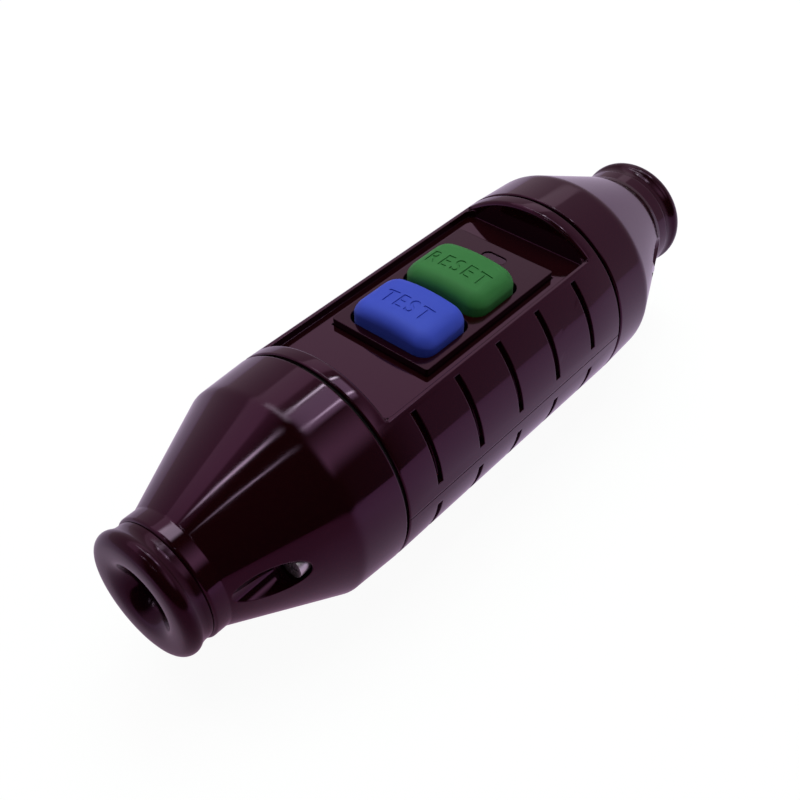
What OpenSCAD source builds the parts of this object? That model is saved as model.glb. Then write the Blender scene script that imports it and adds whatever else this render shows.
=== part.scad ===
// In-line residual current device: a round two-button unit that sits in a mains lead.
// X runs along the lead, from the TEST end (-X) to the RESET end (+X). Z is up and y = 0 is the middle.
// The origin is on the surface that the unit lies on, under its middle.

/* [Body sleeve] */
// Outer radius of the sleeve
body_r = 33; // [31:0.5:36]
// Length of the sleeve between its end faces
body_l = 97; // [96:1:110]
// Wall of the sleeve
body_wall = 3.5; // [3:0.1:4]
// Depth of the flat on top below the crown
crown_drop = 8.6; // [8:0.1:9]
// Depth of the tray sunk into the flat
tray_d = 2.2; // [1.6:0.1:2.6]
// Width of the rim on each side of the tray
rim_w = 1; // [0.8:0.1:1.4]
// Thickness of the tray floor
tray_floor = 2.5; // [2:0.1:3]
// Plan rounding of the tray corners
tray_round = 2.5; // [1:0.5:4]
// Length of the full ring left at each end of the flat
end_ring = 4.7; // [4.2:0.1:6]
// Rounding of the edges of the rings
ring_round = 1.2; // [0.6:0.1:1.6]

/* [Grip] */
// Number of steps in each row of the grip
grip_steps = 5; // [3:1:5]
// Distance from step to step
grip_pitch = 17.55; // [15:0.05:18]
// Height of a step
grip_depth = 1.8; // [1:0.1:2.2]
// Length of the ramp that leads down to a step
grip_ramp = 2.2; // [1.5:0.1:6]
// Angle from the crown to the upper end of the upper row
grip_from = 45; // [44:0.5:50]
// Angle from the crown to the lower end of the upper row
grip_to = 83.5; // [76:0.5:86]
// Width of the mould line along each side
mould_line = 0.3; // [0.2:0.05:0.5]

/* [End caps] */
// Length of the nearly straight part of a cap
cap_straight = 15.5; // [12:0.5:20]
// Radius that the straight part loses along its length
cap_draft = 0.7; // [0.3:0.1:1.2]
// Length of the cone
cone_l = 31.5; // [30:0.1:38]
// Radius of the collar at the small end
collar_r = 18; // [17.2:0.1:19]
// Length of the collar
collar_l = 5; // [3.5:0.1:6]
// Wall of the cap
cap_wall = 3.2; // [2.6:0.1:3.6]
// Rounding of the edge where the cone starts
crease_round = 4; // [1:0.5:6]
// Length of the spigot that enters the sleeve
spigot_l = 1.6; // [1:0.1:2]
// Wall of the spigot
spigot_wall = 2; // [1.5:0.1:2.4]

/* [Seals and cable sleeves] */
// Thickness of the seal between cap and sleeve
seal_t = 1; // [0.8:0.1:1.5]
// Depth of the seal below the outer surface
seal_sunk = 1.2; // [0.8:0.1:1.6]
// Radius of the cable bore
cord_r = 6.5; // [5:0.1:7]
// Radius of the collar bore that holds the cable sleeve
seat_r = 13; // [12:0.1:13.5]
// Length of the cable sleeve's seat
seat_l = 8; // [7:0.5:10]
// Radius of the cable sleeve's neck
neck_r = 16.5; // [15:0.1:17]
// Length of the neck
neck_l = 3.6; // [2:0.1:4.4]
// Radius of the rolled flange
flange_r = 18.3; // [17.5:0.1:20]
// Thickness of the rolled flange
flange_t = 4.9; // [4.5:0.1:7]
// Radius of the mouth of the bore
mouth_r = 9.6; // [8.5:0.1:11]
// Height of the inner lip above its seat
lip_h = 2; // [1.5:0.1:2.2]

/* [Cap screws] */
// Distance from the outer surface of the sleeve in to the axis of a cap screw
screw_inset = 10.5; // [10:0.1:11]
// Angle of the cap screws from the crown
screw_angle = 82.4; // [80:0.1:90]
// Radius of the screw's shank
screw_r = 2; // [1.5:0.1:2.2]
// Radius of the screw's head
head_r = 3.3; // [3:0.1:3.7]
// Height of the head
head_h = 3.6; // [2.5:0.1:4]
// Radius of the channel that the head lies in
channel_r = 4.25; // [4:0.05:4.5]
// Distance from the cap's face to the seat of the head
seat_w = 27.2; // [26:0.1:30]
// Length of the shank in the sleeve
screw_grip = 11; // [8:0.5:13]

/* [Switch module] */
// Length of the module
module_l = 56.3; // [56:0.1:58]
// Width of the module
module_w = 34; // [33.5:0.1:35]
// Distance from the middle of the sleeve to the middle of the module
module_x = 5.25; // [4:0.05:6]
// Height of the button plate above the tray floor
plate_h = 2.2; // [1.4:0.1:3]
// Thickness of the button plate
plate_t = 2; // [1.6:0.1:2.4]
// Wall of the module
module_wall = 1.5; // [1.2:0.1:1.8]
// Depth of the module's floor below the axis
module_drop = 13; // [12.5:0.1:13.5]
// Thickness of the module's base
base_t = 2.5; // [2.2:0.1:2.6]
// Width of the flange under the tray floor
module_flange = 3; // [2:0.1:3.5]
// Thickness of the gasket on the flange
gasket_t = 1; // [0.8:0.1:1.5]
// Gap between fixed pieces that slide together
fit = 0.15; // [0.05:0.05:0.2]

/* [Buttons] */
// Size of a button along the lead
button_l = 20; // [18:0.1:20.4]
// Size of a button across the lead
button_w = 28.6; // [24:0.1:28.8]
// Height of a button's crown above the plate
button_h = 6.6; // [4:0.1:8]
// Drop of the crown at the two ends of a button
button_sag = 1.6; // [0.5:0.1:2.5]
// Rounding of a button's top edge
button_round = 3.6; // [2:0.1:4.5]
// Distance between the middles of the two buttons
button_pitch = 22.2; // [21.8:0.1:22.6]
// Distance from the middle of the module to midway between the buttons
button_off = -4.5; // [-4.8:0.1:-4]
// Travel of a button
button_travel = 2.5; // [1.5:0.1:2.7]
// Gap round a moving piece
run = 0.3; // [0.2:0.05:0.4]
// Radius of a plunger's stem
stem_r = 2.5; // [2:0.1:3]
// Wire diameter of a button spring
wire_d = 0.7; // [0.5:0.05:0.9]
// Mean radius of a button spring
coil_r = 4.2; // [3.8:0.1:4.8]
// Turns of a button spring
coil_turns = 5; // [3:1:6]

/* [Indicator] */
// Size of the indicator window along the lead
window_l = 4; // [3:0.1:5]
// Size of the indicator window across the lead
window_w = 8; // [6:0.1:10]
// Distance from the module's end to the middle of the window
window_off = 5.55; // [5:0.05:6]

/* [Contacts] */
// Distance between the three conductors
pole_pitch = 6; // [5.8:0.1:6.2]
// Width of a conductor
bar_w = 1.8; // [1.4:0.1:2]
// Thickness of a conductor
bar_t = 1.2; // [0.8:0.1:1.3]
// Opening of the contacts
contact_gap = 2.5; // [1.5:0.1:2.7]

/* [Transformer] */
// Outer radius of the transformer's core
core_r = 11.6; // [11:0.1:11.8]
// Inner radius of the transformer's core
core_bore = 8.6; // [8.3:0.1:9]
// Length of the core
core_l = 6; // [5:0.1:6.2]
// Thickness of the winding round the core
winding_t = 0.8; // [0.5:0.1:0.9]

/* [Terminals and cord clamps] */
// Length of a terminal block
block_l = 11.5; // [9:0.1:11.8]
// Width of a terminal block
block_w = 22; // [20:0.5:26]
// Outer radius of a terminal
terminal_r = 2.4; // [2.2:0.1:2.6]
// Bore of a terminal
terminal_bore = 1.5; // [1.35:0.05:1.6]
// Length of a cord clamp along the lead
clamp_l = 9; // [7:0.1:10]
// Width of a cord clamp
clamp_w = 26; // [24:0.5:28]
// Distance from the cap's face to the middle of the clamp
clamp_at = 14; // [12:0.5:18]

/* [Hidden] */
$fn = 64;
eps = 0.01;
over = 1;
arc_n = 6;

// Heights are from the axis of the body
rim_z = body_r - crown_drop;
tray_z = rim_z - tray_d;
roof_z = tray_z - tray_floor;
plate_z = tray_z + plate_h;
bore_r = body_r - body_wall;
rim_y = sqrt(body_r*body_r - rim_z*rim_z);
pocket_h = body_l/2 - end_ring;
grip_lead = 0.05;
ring_stop = 1.2;

// Distances along the cap are from its face, away from the sleeve
cap_x = body_l/2 + seal_t;
cone_w = cap_straight + cone_l;
cap_l = cone_w + collar_l;
cone_r = body_r - cap_draft;
cone_slope = (cone_r - collar_r)/cone_l;
ledge_w = cap_l - seat_l;
ledge_r = cone_r - cone_slope*(ledge_w - cap_straight) - cap_wall*1.1;
inner_r = cone_r - cap_wall;
spigot_r = bore_r - fit;
flange_w = cap_l + neck_l;
front_w = flange_w + flange_t;
lip_l = 2.5;
mouth_d = 5.6;
flange_roll = flange_t/2;
flange_back = flange_t/5;
screw_circle = body_r - screw_inset;
screw_y = screw_circle*sin(screw_angle);
screw_z = screw_circle*cos(screw_angle);
column_r = channel_r + 1.6;
boss_r = screw_r + 2.2;

// The module, from its floor up
base_z = -module_drop;
floor_z = base_z + base_t;
ceiling_z = plate_z - plate_t;
in_l = module_l/2 - module_wall;
in_w = module_w/2 - module_wall;
gasket_z = roof_z - gasket_t;
mflange_t = 2;
post_r = 2.2;
post_in = 1.9;
post_top = 9;
mscrew_r = 1;
mscrew_head = 1.9;
mscrew_l = 8;
mscrew_slot = 2.6;
mflange_round = 3;
test_x = module_x + button_off - button_pitch/2;
reset_x = module_x + button_off + button_pitch/2;
window_x = module_x + module_l/2 - window_off;

// Guide plate, board and switches
guide_t = 2;
guide_z = 9.5;
board_t = 1.6;
board_z = 1.4;
board_w = 22;
capacitor_y = 7.5;
capacitor_r = 2.6;
capacitor_h = 5.6;
chip_l = 6.4;
chip_w = 4.8;
chip_lead = 0.5;
board_x0 = module_x - in_l + 0.9;
board_x1 = window_x - window_l/2 - 2.6;
skirt_z = ceiling_z - 1.5;
lip_t = 0.5;
disc_t = 1.5;
disc_r = coil_r + wire_d/2 + 0.8;
stem_z = guide_z - 0.5;
switch_z = stem_z - button_travel - run;
spring_z0 = guide_z + guide_t;
spring_z1 = skirt_z - disc_t;

// Conductors lie on the axis; the bridging contacts lie below them
bar_low = -bar_t/2;
bridge_t = 1;
bridge_lap = 2.4;
carrier_z = bar_low - run - contact_gap - bridge_t;
carrier_low = floor_z + 0.9;
line_end = reset_x - 1.5;
load_reach = 8.5;
load_end = reset_x + load_reach;
carrier_x0 = line_end - 2;
carrier_x1 = window_x - 0.6;
carrier_edge = 2.5;
carrier_w = 2*pole_pitch + 2*carrier_edge;
pin_r = 1;
pin_x = load_end - 0.8;
coil_spring_x = line_end + 3.2;
spring_wire = 0.45;
flag_rise = run + contact_gap;

// The magnet lies under the conductors
bobbin_r = 4;
bobbin_bore = 2.3;
yoke_t = 0.8;
magnet_z = floor_z + yoke_t + bobbin_r + 0.1;
magnet_x0 = module_x - in_l + 1.6;
magnet_clear = 8.4;
magnet_l = carrier_x0 - magnet_clear - magnet_x0;
rod_r = bobbin_bore - run;
wedge_x = magnet_x0 + magnet_l + yoke_t + 0.3 + contact_gap;
wedge_w = 8;

// Pieces outside the module
core_x = module_x - module_l/2 - fit - 0.6 - winding_t - core_l/2;
core_in = core_bore - winding_t;
core_out = core_r + winding_t;
block_top = 5;
line_x = core_x - core_l/2 - winding_t - 0.8 - block_l/2;
load_x = module_x + module_l/2 + 1.2 + block_l/2;
chassis_t = 2;
saddle_h = 4.4;
chassis_x0 = line_x - block_l/2;
chassis_x1 = load_x + block_l/2;
terminal_in = 0.5;
tscrew_r = 1.2;
tscrew_head = 1.9;
clamp_h = 9;
cscrew_low = 7;
clamp_groove = cord_r;
cscrew_r = 1.4;
cscrew_head = 2.6;
cscrew_y = clamp_w/2 - 3;

shell_colour = "#2a1a22";
rubber_colour = "#1d1418";
brass = "#c9a24a";
copper = "#b8693a";
steel = "#b9bcc0";
white = "#e6e4dc";

function unit(v) = v/norm(v);

// An arc of radius r in place of the corner b between a and c
function corner(a, b, c, r) = r <= 0 ? [b] :
  let (
    u = unit(a - b),
    v = unit(c - b),
    half = acos(u*v)/2,
    m = b + unit(u + v)*r/sin(half),
    p = b + u*r/tan(half) - m,
    q = b + v*r/tan(half) - m,
    from = atan2(p.y, p.x),
    turn = atan2(q.y, q.x) - from,
    sweep = turn > 180 ? turn - 360 : turn < -180 ? turn + 360 : turn
  )
  [for (i = [0:arc_n]) m + r*[cos(from + sweep*i/arc_n), sin(from + sweep*i/arc_n)]];

// A closed outline from corners [x, y, rounding]
function rounded(p) = let (n = len(p)) [
  for (i = [0:n - 1])
    let (a = p[(i + n - 1)%n], b = p[i], c = p[(i + 1)%n])
    each corner([a[0], a[1]], [b[0], b[1]], [c[0], c[1]], b[2])
];

// A rounded rectangle about the origin
function plan(l, w, r) = rounded([[-l/2, -w/2, r], [l/2, -w/2, r], [l/2, w/2, r], [-l/2, w/2, r]]);

// Lifts what is drawn about the body's axis onto the resting surface
module lifted() {
  translate([0, 0, body_r]) children();
}

// Turns an outline of [radius, distance] about the X axis
module revolve_x() {
  rotate([0, 90, 0]) rotate_extrude() children();
}

// A round bar along X from x0 to x1
module rod_x(r, x0, x1, y = 0, z = 0) {
  translate([x0, y, z]) rotate([0, 90, 0]) cylinder(r = r, h = x1 - x0);
}

// A box between two corners
module box(a, b) {
  translate(a) cube(b - a);
}

// Draws the children at the +X end, or mirrored at the -X end
module at_end(side) {
  if (side > 0) children();
  else mirror([1, 0, 0]) children();
}

// Draws the children on both sides of the middle plane
module both_sides() {
  children();
  mirror([0, 1, 0]) children();
}

// A round wire along a helix about Z, closed at both ends
module helix(r, wire, turns, z0, z1) {
  per = 8;
  sides = 6;
  n = turns*per;
  rise = z1 - z0 - wire;
  points = [
    for (i = [0:n])
      let (a = 360*i/per, m = z0 + wire/2 + rise*i/n)
      for (j = [0:sides - 1])
        let (b = 360*j/sides, q = r + wire/2*cos(b))
        [q*cos(a), q*sin(a), m + wire/2*sin(b)]
  ];
  walls = [
    for (i = [0:n - 1], j = [0:sides - 1])
      let (k = (j + 1)%sides, a = i*sides + j, b = i*sides + k)
      each [[a, b + sides, b], [a, a + sides, b + sides]]
  ];
  first = [for (j = [1:sides - 2]) [0, j, j + 1]];
  last = [for (j = [1:sides - 2]) [n*sides, n*sides + j + 1, n*sides + j]];
  polyhedron(points, concat(walls, first, last));
  echo("least gap between turns", rise/turns - wire);
}

// Body sleeve

module sleeve_solid() {
  h = body_l/2;
  revolve_x() polygon(rounded([[0, -h, 0], [body_r, -h, 0.5], [body_r, h, 0.5], [0, h, 0]]));
}

// The bore, less the block that carries the tray
module sleeve_hollow() {
  difference() {
    rod_x(bore_r, -body_l, body_l);
    box([-pocket_h - tray_floor, -body_r, roof_z], [pocket_h + tray_floor, body_r, 2*body_r]);
  }
}

// Rounds the inner edge of a full ring, and stops just short of the flat
module ring_edge() {
  angle = acos(rim_z/body_r) - ring_stop;
  f = ring_round;
  edge = [for (i = [0:arc_n])
    let (a = 90*i/arc_n)
    [body_r - f + f*cos(a), pocket_h + f - f*sin(a)]];
  rotate([0, 90, 0])
    rotate([0, 0, 180 - angle])
      rotate_extrude(angle = 2*angle)
        polygon(concat([[body_r + over, pocket_h + f]], edge, [[body_r - f, pocket_h - over],
          [body_r + over, pocket_h - over]]));
}

module tray() {
  box([-pocket_h, -body_r, rim_z], [pocket_h, body_r, 2*body_r]);
  translate([0, 0, tray_z])
    linear_extrude(crown_drop) polygon(plan(2*pocket_h, 2*(rim_y - rim_w), tray_round));
  for (s = [-1, 1])
    at_end(s) ring_edge();
  translate([module_x, 0, 0])
    box([-module_l/2 - fit, -module_w/2 - fit, roof_z - over], [module_l/2 + fit, module_w/2 + fit, rim_z]);
}

// One row of steps: a short ramp leads down to each, from the TEST end
module grip_row(from, to) {
  first = -(grip_steps - 1)/2*grip_pitch;
  for (i = [0:grip_steps - 1]) {
    x1 = first + i*grip_pitch;
    x0 = x1 - grip_ramp;
    rotate([0, 90, 0])
      rotate([0, 0, 180 - to])
        rotate_extrude(angle = to - from)
          polygon([[body_r + grip_lead, x0], [body_r + over, x0], [body_r + over, x1],
            [body_r - grip_depth, x1]]);
  }
}

// A threaded boss for a cap screw, joined to the wall of the sleeve
module screw_boss() {
  x0 = body_l/2 - screw_grip - 4;
  rod_x(boss_r, x0, body_l/2, screw_y, screw_z);
  intersection() {
    box([x0, screw_y, screw_z - 2], [pocket_h + tray_floor - over, body_r, screw_z + 2]);
    rod_x(bore_r + over, -body_l/2, body_l/2);
  }
}

module body_sleeve() {
  color(shell_colour) lifted() difference() {
    union() {
      difference() {
        sleeve_solid();
        sleeve_hollow();
        tray();
        both_sides() {
          grip_row(grip_from, grip_to);
          grip_row(180 - grip_to, 180 - grip_from);
          box([-body_l, body_r - mould_line, -mould_line/2], [body_l, body_r + over, mould_line/2]);
        }
      }
      for (s = [-1, 1])
        at_end(s) both_sides() screw_boss();
    }
    for (s = [-1, 1])
      at_end(s) both_sides() rod_x(screw_r + fit/3, body_l/2 - screw_grip - 1, body_l, screw_y, screw_z);
  }
}

// End caps

module cap_shell() {
  translate([cap_x, 0, 0]) revolve_x() polygon(rounded([
    [body_r, 0, 0.5],
    [cone_r, cap_straight, crease_round],
    [collar_r, cone_w, 1],
    [collar_r, cap_l, 0.9],
    [seat_r, cap_l, 0],
    [seat_r, ledge_w, 0],
    [ledge_r, ledge_w, 0],
    [inner_r, cap_straight, 2],
    [inner_r, 6, 0],
    [spigot_r - spigot_wall, 4, 0],
    [spigot_r - spigot_wall, -seal_t - spigot_l, 0],
    [spigot_r, -seal_t - spigot_l, 0.3],
    [spigot_r, 0, 0]
  ]));
}

// The space inside the cap's outer skin, which trims what stands inside the cap
module cap_space() {
  translate([cap_x, 0, 0]) revolve_x() polygon([
    [0, 0],
    [body_r - 1, 0],
    [cone_r - 1, cap_straight - 1],
    [collar_r - 1, cone_w - 1],
    [0, cone_w - 1]
  ]);
}

module end_cap(side) {
  clamp_x = cap_x + clamp_at;
  color(shell_colour) lifted() at_end(side) difference() {
    union() {
      cap_shell();
      intersection() {
        cap_space();
        union() {
          both_sides() rod_x(column_r, cap_x, cap_x + cap_l, screw_y, screw_z);
          box([clamp_x - clamp_l/2, -clamp_w/2, -body_r], [clamp_x + clamp_l/2, clamp_w/2, 0]);
        }
      }
    }
    both_sides() {
      rod_x(channel_r, cap_x + seat_w, cap_x + 2*cap_l, screw_y, screw_z);
      rod_x(screw_r + fit, 0, cap_x + cap_l, screw_y, screw_z);
      translate([clamp_x, cscrew_y, -cscrew_low - 1]) cylinder(r = cscrew_r + fit/3, h = body_r);
    }
    rod_x(clamp_groove, clamp_x - clamp_l, clamp_x + clamp_l);
  }
}

module end_seal(side) {
  color("#111111") lifted() at_end(side) translate([body_l/2, 0, 0]) revolve_x()
    polygon([[bore_r + 0.1, 0], [body_r - seal_sunk, 0], [body_r - seal_sunk, seal_t], [bore_r + 0.1, seal_t]]);
}

// A rubber sleeve with a rolled flange, snapped into the collar
module cable_sleeve(side) {
  waist_r = seat_r - fit/3;
  color(rubber_colour) lifted() at_end(side) translate([cap_x, 0, 0]) revolve_x() polygon(rounded([
    [cord_r, ledge_w - lip_l, 0.6],
    [seat_r + lip_h, ledge_w - lip_l, 0.8],
    [seat_r + lip_h, ledge_w, 0],
    [waist_r, ledge_w, 0],
    [waist_r, cap_l, 0],
    [neck_r, cap_l, 0.6],
    [neck_r, flange_w, 1.8],
    [flange_r, flange_w + flange_back, 0.9],
    [flange_r, front_w - flange_roll, 2],
    [flange_r - flange_roll, front_w, 2.5],
    [mouth_r, front_w, 2.6],
    [cord_r, front_w - mouth_d, 2.5]
  ]));
}

module cap_screws(side) {
  head_x = cap_x + seat_w;
  color(steel) lifted() at_end(side) both_sides() difference() {
    union() {
      rod_x(screw_r, body_l/2 - screw_grip, head_x + eps, screw_y, screw_z);
      rod_x(head_r, head_x, head_x + head_h, screw_y, screw_z);
    }
    translate([head_x + head_h - 1.6, screw_y, screw_z]) {
      box([0, -0.45, -2.2], [over*2, 0.45, 2.2]);
      box([0, -2.2, -0.45], [over*2, 2.2, 0.45]);
    }
  }
}

// Carrier that the module, the transformer and the terminals stand on
module chassis() {
  rib_y = 10;
  color("#8f8a80") lifted() difference() {
    union() {
      intersection() {
        rod_x(bore_r - fit, chassis_x0, chassis_x1);
        union() {
          box([chassis_x0, -body_r, base_z - chassis_t], [chassis_x1, body_r, base_z]);
          for (s = [-1, 1])
            box([chassis_x0, s*rib_y - 1, -body_r], [chassis_x1, s*rib_y + 1, base_z - eps]);
        }
      }
      box([core_x - core_l/2, -8, base_z - eps], [core_x + core_l/2, 8, base_z + saddle_h]);
    }
    rod_x(core_out + fit, core_x - core_l, core_x + core_l);
  }
}

// Switch module

module module_posts(r, z0, z1) {
  for (i = [-1, 1], j = [-1, 1])
    translate([module_x + i*(in_l - post_in), j*(in_w - post_in), z0]) cylinder(r = r, h = z1 - z0);
}

// Draws the children at each of the three conductors
module each_pole() {
  for (i = [-1:1])
    translate([0, i*pole_pitch, 0]) children();
}

module button_hole(x) {
  translate([x, 0, ceiling_z - over])
    linear_extrude(plate_t + 2*over) polygon(plan(button_l + 2*run, button_w + 2*run, 4.3));
}

module module_case() {
  color("#241820") lifted() difference() {
    union() {
      difference() {
        union() {
          translate([module_x, 0, floor_z])
            linear_extrude(plate_z - floor_z) polygon(plan(module_l, module_w, 0.8));
          translate([module_x, 0, gasket_z - mflange_t])
            linear_extrude(mflange_t)
              polygon(plan(module_l + 2*module_flange, module_w + 2*module_flange, mflange_round));
        }
        translate([module_x, 0, floor_z - over])
          linear_extrude(ceiling_z - floor_z + over) polygon(plan(2*in_l, 2*in_w, 0.5));
      }
      intersection() {
        module_posts(post_r, floor_z, post_top);
        translate([module_x, 0, 0]) box([-in_l - 0.5, -in_w - 0.5, -body_r], [in_l + 0.5, in_w + 0.5, body_r]);
      }
      for (s = [-1, 1])
        translate([module_x + button_off, s*(in_w - 0.4), guide_z + guide_t + 2])
          cube([3, 1.2, 4], center = true);
    }
    button_hole(test_x);
    button_hole(reset_x);
    translate([window_x, 0, ceiling_z - over])
      linear_extrude(plate_t + 2*over) polygon(plan(window_l, window_w, window_l/2 - 0.1));
    module_posts(mscrew_r + fit/3, floor_z - over, floor_z + mscrew_l + over);
    each_pole()
      box([-body_l, -bar_w/2 - run, -bar_t/2 - run], [body_l, bar_w/2 + run, bar_t/2 + run]);
  }
}

module module_base() {
  color("#3a3238") lifted() difference() {
    union() {
      translate([module_x, 0, base_z]) linear_extrude(base_t) polygon(plan(module_l, module_w, 0.8));
      for (s = [-1, 1])
        translate([pin_x, s*pole_pitch/2, floor_z - eps]) cylinder(r = pin_r, h = board_z - run - floor_z);
    }
    module_posts(mscrew_r + fit, base_z - over, floor_z + over);
    module_posts(mscrew_head + fit, base_z - over, base_z + base_t/2);
  }
}

module module_gasket() {
  color("#101010") lifted() translate([module_x, 0, gasket_z]) linear_extrude(gasket_t) difference() {
    polygon(plan(module_l + 2*module_flange - gasket_t, module_w + 2*module_flange - gasket_t, mflange_round));
    polygon(plan(module_l + 2*fit, module_w + 2*fit, 0.8));
  }
}

module module_screws() {
  color(steel) lifted() difference() {
    union() {
      module_posts(mscrew_r, base_z + fit*2, floor_z + mscrew_l);
      module_posts(mscrew_head, base_z + fit*2, base_z + base_t/2);
    }
    for (i = [-1, 1], j = [-1, 1])
      translate([module_x + i*(in_l - post_in), j*(in_w - post_in), base_z]) {
        cube([0.5, mscrew_slot, 1.6], center = true);
        cube([mscrew_slot, 0.5, 1.6], center = true);
      }
  }
}

// A clear lens with a lip that seats under the plate
module indicator_lens() {
  l = window_l - 2*fit;
  w = window_w - 2*fit;
  color([0.8, 0.85, 0.9, 0.6]) lifted() translate([window_x, 0, 0]) union() {
    translate([0, 0, ceiling_z - eps])
      linear_extrude(plate_t - 0.3) polygon(plan(l, w, l/2 - 0.1));
    translate([0, 0, ceiling_z - 0.8])
      linear_extrude(0.8) polygon(plan(l + 2, w + 2, 1));
  }
}

module guide_plate() {
  color("#5a5560") lifted() difference() {
    union() {
      translate([module_x, 0, guide_z]) linear_extrude(guide_t)
        polygon(plan(2*in_l - 2*fit, 2*in_w - 2*fit, 0.5));
      for (x = [board_x0 + 2.2, board_x1 - 2.2], s = [-1, 1])
        translate([x, s*(board_w/2 - 2.2), board_z + board_t])
          cylinder(r = 1.6, h = guide_z - board_z - board_t + eps);
    }
    for (x = [test_x, reset_x])
      translate([x, 0, guide_z - over]) cylinder(r = stem_r + run, h = guide_t + 2*over);
    translate([window_x, 0, guide_z])
      cube([window_l + 2, pole_pitch*2, 4*guide_t], center = true);
  }
}

module circuit_board() {
  color("#2e6b3a") lifted()
    box([board_x0, -board_w/2, board_z], [board_x1, board_w/2, board_z + board_t]);
}

// A small push switch under a plunger
module tact_switch(x) {
  z0 = board_z + board_t;
  color("#1b1b1d") lifted() translate([x, 0, 0]) union() {
    box([-3, -3, z0], [3, 3, switch_z - 0.8]);
    translate([0, 0, z0]) cylinder(r = 1.7, h = switch_z - z0);
  }
}

module board_capacitors() {
  z0 = board_z + board_t;
  color("#304a7a") lifted() for (s = [-1, 1])
    translate([(test_x + reset_x)/2, s*capacitor_y, z0]) cylinder(r = capacitor_r, h = capacitor_h);
}

module control_chip() {
  z0 = board_z + board_t;
  color("#17171a") lifted() translate([(test_x + reset_x)/2, 0, z0]) union() {
    box([-chip_l/2, -chip_w/2, 0.2], [chip_l/2, chip_w/2, 1.6]);
    for (i = [-2:2], s = [-1, 1])
      translate([i*1.27, s*(chip_w/2 + chip_lead), 0.35]) cube([0.45, 1.4, 0.7], center = true);
  }
}

// Summation current transformer round the three conductors

module transformer_core() {
  h = core_l/2;
  color("#55565c") lifted() translate([core_x, 0, 0]) revolve_x()
    polygon([[core_bore, -h], [core_r, -h], [core_r, h], [core_bore, h]]);
}

module transformer_winding() {
  h = core_l/2;
  t = winding_t;
  color(copper) lifted() translate([core_x, 0, 0]) difference() {
    revolve_x() polygon(rounded([[core_in, -h - t, 0.4], [core_out, -h - t, 0.4], [core_out, h + t, 0.4],
      [core_in, h + t, 0.4]]));
    revolve_x() polygon([[core_bore, -h], [core_r, -h], [core_r, h], [core_bore, h]]);
  }
}

// Electromagnet

module magnet_yoke() {
  x1 = magnet_x0 + magnet_l;
  w = bobbin_r + 1;
  color(steel) lifted() difference() {
    union() {
      box([magnet_x0 - yoke_t, -w, floor_z], [x1 + yoke_t, w, floor_z + yoke_t]);
      box([magnet_x0 - yoke_t, -w, floor_z], [magnet_x0, w, magnet_z + bobbin_r]);
      box([x1, -w, floor_z], [x1 + yoke_t, w, magnet_z + bobbin_r]);
    }
    rod_x(bobbin_bore, x1 - over, x1 + yoke_t + over, 0, magnet_z);
  }
}

module magnet_bobbin() {
  h = magnet_l;
  color(white) lifted() translate([magnet_x0, 0, magnet_z]) revolve_x() polygon([
    [bobbin_bore, 0], [bobbin_r, 0], [bobbin_r, 0.8], [bobbin_bore + 0.6, 0.8],
    [bobbin_bore + 0.6, h - 0.8], [bobbin_r, h - 0.8], [bobbin_r, h], [bobbin_bore, h]
  ]);
}

module magnet_winding() {
  color(copper) lifted() translate([magnet_x0, 0, magnet_z]) revolve_x() polygon([
    [bobbin_bore + 0.6, 0.8], [bobbin_r - 0.3, 0.8], [bobbin_r - 0.3, magnet_l - 0.8],
    [bobbin_bore + 0.6, magnet_l - 0.8]
  ]);
}

// Conductors and terminals

module line_conductors() {
  color(copper) lifted() each_pole()
    box([line_x - 1, -bar_w/2, -bar_t/2], [line_end, bar_w/2, bar_t/2]);
}

module load_conductors() {
  color(copper) lifted() each_pole()
    box([load_end, -bar_w/2, -bar_t/2], [load_x + 1, bar_w/2, bar_t/2]);
}

// Wire screws stand toward the cord on each block
module terminal_screw_holes(x, side, r) {
  each_pole()
    translate([x + side*block_l/4, 0, 0]) cylinder(r = r, h = block_top + over);
}

module terminal_block(x, side) {
  color(white) lifted() difference() {
    box([x - block_l/2, -block_w/2, base_z], [x + block_l/2, block_w/2, block_top]);
    each_pole() rod_x(terminal_r + fit/3, x - block_l, x + block_l);
    terminal_screw_holes(x, side, tscrew_r + fit);
  }
}

module terminals(x, side) {
  color(brass) lifted() difference() {
    each_pole() rod_x(terminal_r, x - block_l/2 + terminal_in, x + block_l/2 - terminal_in);
    each_pole() rod_x(terminal_bore, x - block_l, x + block_l);
    terminal_screw_holes(x, side, tscrew_r + fit/3);
  }
}

module terminal_screws(x, side) {
  color(steel) lifted() each_pole()
    translate([x + side*block_l/4, 0, 0]) difference() {
      union() {
        translate([0, 0, terminal_bore - 0.3]) cylinder(r = tscrew_r, h = block_top - terminal_bore + 0.4);
        translate([0, 0, block_top]) cylinder(r = tscrew_head, h = 1.4);
      }
      translate([0, 0, block_top + 1.4]) cube([0.5, 3.2, 1.2], center = true);
    }
}

module cord_clamp(side) {
  clamp_x = cap_x + clamp_at;
  color(white) lifted() at_end(side) difference() {
    translate([clamp_x, 0, 0]) rotate([90, 0, 90]) translate([0, 0, -clamp_l/2]) linear_extrude(clamp_l)
      polygon(rounded([[-clamp_w/2, 0, 0], [clamp_w/2, 0, 0], [clamp_w/2, clamp_h, 2], [-clamp_w/2, clamp_h, 2]]));
    rod_x(clamp_groove, clamp_x - clamp_l, clamp_x + clamp_l);
    both_sides() translate([clamp_x, cscrew_y, -over]) cylinder(r = cscrew_r + fit, h = clamp_h + 2*over);
  }
}

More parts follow.
